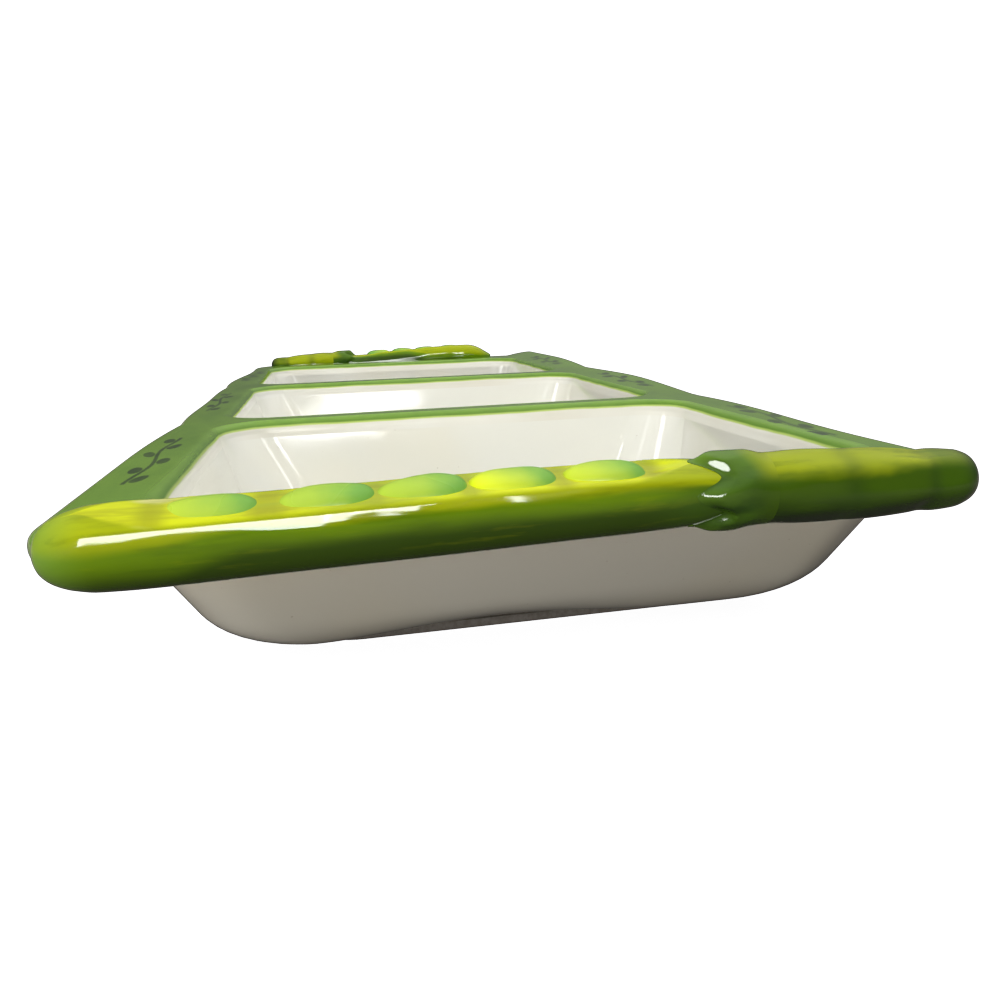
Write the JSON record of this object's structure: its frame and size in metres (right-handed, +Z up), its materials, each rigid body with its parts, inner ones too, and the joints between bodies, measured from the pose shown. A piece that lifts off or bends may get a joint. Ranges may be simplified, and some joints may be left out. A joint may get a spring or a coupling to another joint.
{
  "type": "divided serving platter",
  "caption": "Long glazed earthenware serving tray with square wells in a row, a lobed green rim and a moulded pea pod along each short end.",
  "frame": {"origin": "on the table under the middle of the tray", "axes": "+Z up, +Y along the row of wells away from the pod nearest the camera, +X across to that pod's stem end"},
  "size_m": [0.18, 0.4204, 0.0454],
  "materials": {
    "white_glaze": "gloss",
    "bare_clay": "matt",
    "green_glaze": "gloss",
    "pod_glaze": "gloss",
    "pea_glaze": "gloss",
    "calyx_glaze": "gloss",
    "stem_glaze": "gloss"
  },
  "bodies": {
    "root": {"tray_basin": "white_glaze", "divider_1": "white_glaze", "divider_2": "white_glaze", "foot_ring": "bare_clay", "rim_flange": "green_glaze", "near_pea_1": "pea_glaze", "near_pea_2": "pea_glaze", "near_pea_3": "pea_glaze", "near_pea_4": "pea_glaze", "near_pea_5": "pea_glaze", "near_pod_shell": "pod_glaze", "near_pod_calyx": "calyx_glaze", "near_pod_stem": "stem_glaze", "far_pea_1": "pea_glaze", "far_pea_2": "pea_glaze", "far_pea_3": "pea_glaze", "far_pea_4": "pea_glaze", "far_pod_shell": "pod_glaze", "far_pod_calyx": "calyx_glaze", "far_pod_stem": "stem_glaze"}
  },
  "joints": []
}
